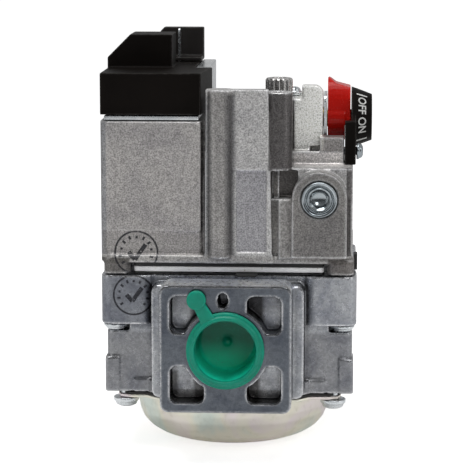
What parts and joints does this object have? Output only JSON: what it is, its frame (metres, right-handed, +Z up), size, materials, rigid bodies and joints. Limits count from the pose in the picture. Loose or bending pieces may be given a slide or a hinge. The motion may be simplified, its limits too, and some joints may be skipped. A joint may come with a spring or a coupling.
{
  "type": "gas valve",
  "caption": "Combination gas control valve with two pipe flanges, solenoid housing, regulator tower, turning gas cock lever, capped inlet and round pressed diaphragm dish.",
  "frame": {"origin": "middle of the flat bottom of the pressed dish, on the surface the valve stands on", "axes": "+Z up from the dish to the terminals, +Y along the gas flow from the capped inlet flange to the open outlet flange, +X towards the lever side"},
  "size_m": [0.1082, 0.1301, 0.1679],
  "materials": {
    "casting": "sand-blasted die casting",
    "zinc_plate": "bright zinc plate",
    "chromate": "zinc plate with a faint yellow-pink chromate tint",
    "steel": "plain machined steel",
    "brass": "machined brass",
    "black_plastic": "moulded, satin",
    "rubber": "matt",
    "copper": "enamelled copper wire",
    "nylon": "natural moulded nylon",
    "green_plastic": "soft moulded polythene, slightly translucent",
    "red_plastic": "moulded, semi-gloss",
    "dark_metal": "dark bright fluted metal"
  },
  "bodies": {
    "valve_body": {"lower_casting": "casting", "upper_casting": "casting", "lower_gasket": "rubber", "upper_gasket": "rubber", "main_diaphragm": "rubber", "side_clip": "rubber", "divider_plate": "zinc_plate", "coil_frame": "zinc_plate", "spade_terminal_1": "zinc_plate", "spade_terminal_2": "zinc_plate", "spade_terminal_3": "zinc_plate", "cover_screw_1": "zinc_plate", "cover_screw_2": "zinc_plate", "cock_retainer": "zinc_plate", "bezel_screw": "zinc_plate", "inlet_tap_plug": "zinc_plate", "outlet_tap_plug": "zinc_plate", "vent_plug": "zinc_plate", "inlet_screen": "zinc_plate", "body_screw_inlet_left": "zinc_plate", "dish_screw_inlet_left": "zinc_plate", "body_screw_outlet_left": "zinc_plate", "dish_screw_outlet_left": "zinc_plate", "body_screw_inlet_right": "zinc_plate", "dish_screw_inlet_right": "zinc_plate", "body_screw_outlet_right": "zinc_plate", "dish_screw_outlet_right": "zinc_plate", "dish_cover": "chromate", "main_valve_spring": "steel", "coil_core_front": "steel", "coil_core_rear": "steel", "plunger_spring_front": "steel", "plunger_spring_rear": "steel", "regulator_spring": "steel", "pilot_fitting": "brass", "coil_winding_front": "copper", "coil_winding_rear": "copper", "coil_bobbin_front": "nylon", "coil_bobbin_rear": "nylon", "regulator_button": "nylon", "terminal_cover": "black_plastic", "terminal_block": "black_plastic", "dial_bezel": "black_plastic"},
    "main_valve": {"main_valve_stem": "steel", "main_valve_disc": "rubber", "diaphragm_plate": "zinc_plate"},
    "plunger_front": {"plunger_front": "steel", "plunger_seal_front": "rubber"},
    "plunger_rear": {"plunger_rear": "steel", "plunger_seal_rear": "rubber"},
    "gas_lever": {"gas_lever": "red_plastic", "cock_plug": "brass"},
    "regulator_cap": {"regulator_cap": "dark_metal"},
    "regulator_adjuster": {"regulator_adjuster": "brass"},
    "pilot_adjuster": {"pilot_adjust_screw": "brass"},
    "inlet_cap": {"inlet_cap": "green_plastic"}
  },
  "joints": [
    {"name": "gas_cock_turn", "type": "hinge", "parent": "valve_body", "child": "gas_lever", "pos_m": [0.0435, 0, 0.133], "axis": [-1, 0, 0], "range_deg": [0, 90]},
    {"name": "main_valve_lift", "type": "slide", "parent": "valve_body", "child": "main_valve", "axis": [0, 0, 1], "range_m": [0, 0.004], "stiffness_N_per_m": 400, "springref_m": -0.01, "deforming": ["main_valve_spring", "main_diaphragm"]},
    {"name": "plunger_front_slide", "type": "slide", "parent": "valve_body", "child": "plunger_front", "axis": [0, 0, 1], "range_m": [0, 0.0015], "stiffness_N_per_m": 60, "springref_m": -0.006, "deforming": ["plunger_spring_front"]},
    {"name": "plunger_rear_slide", "type": "slide", "parent": "valve_body", "child": "plunger_rear", "axis": [0, 0, 1], "range_m": [0, 0.0015], "stiffness_N_per_m": 60, "springref_m": -0.006, "deforming": ["plunger_spring_rear"]},
    {"name": "regulator_cap_off", "type": "slide", "parent": "valve_body", "child": "regulator_cap", "axis": [0, 0, 1], "range_m": [0, 0.012]},
    {"name": "regulator_adjust", "type": "hinge", "parent": "valve_body", "child": "regulator_adjuster", "pos_m": [0.01915, -0.0134, 0.132], "axis": [0, 0, 1], "range_deg": [-720, 720]},
    {"name": "pilot_adjust", "type": "hinge", "parent": "valve_body", "child": "pilot_adjuster", "pos_m": [0.0192, -0.036, 0.1375], "axis": [0, 0, 1], "range_deg": [-720, 720]},
    {"name": "inlet_cap_off", "type": "slide", "parent": "valve_body", "child": "inlet_cap", "axis": [0, -1, 0], "range_m": [0, 0.03]}
  ]
}
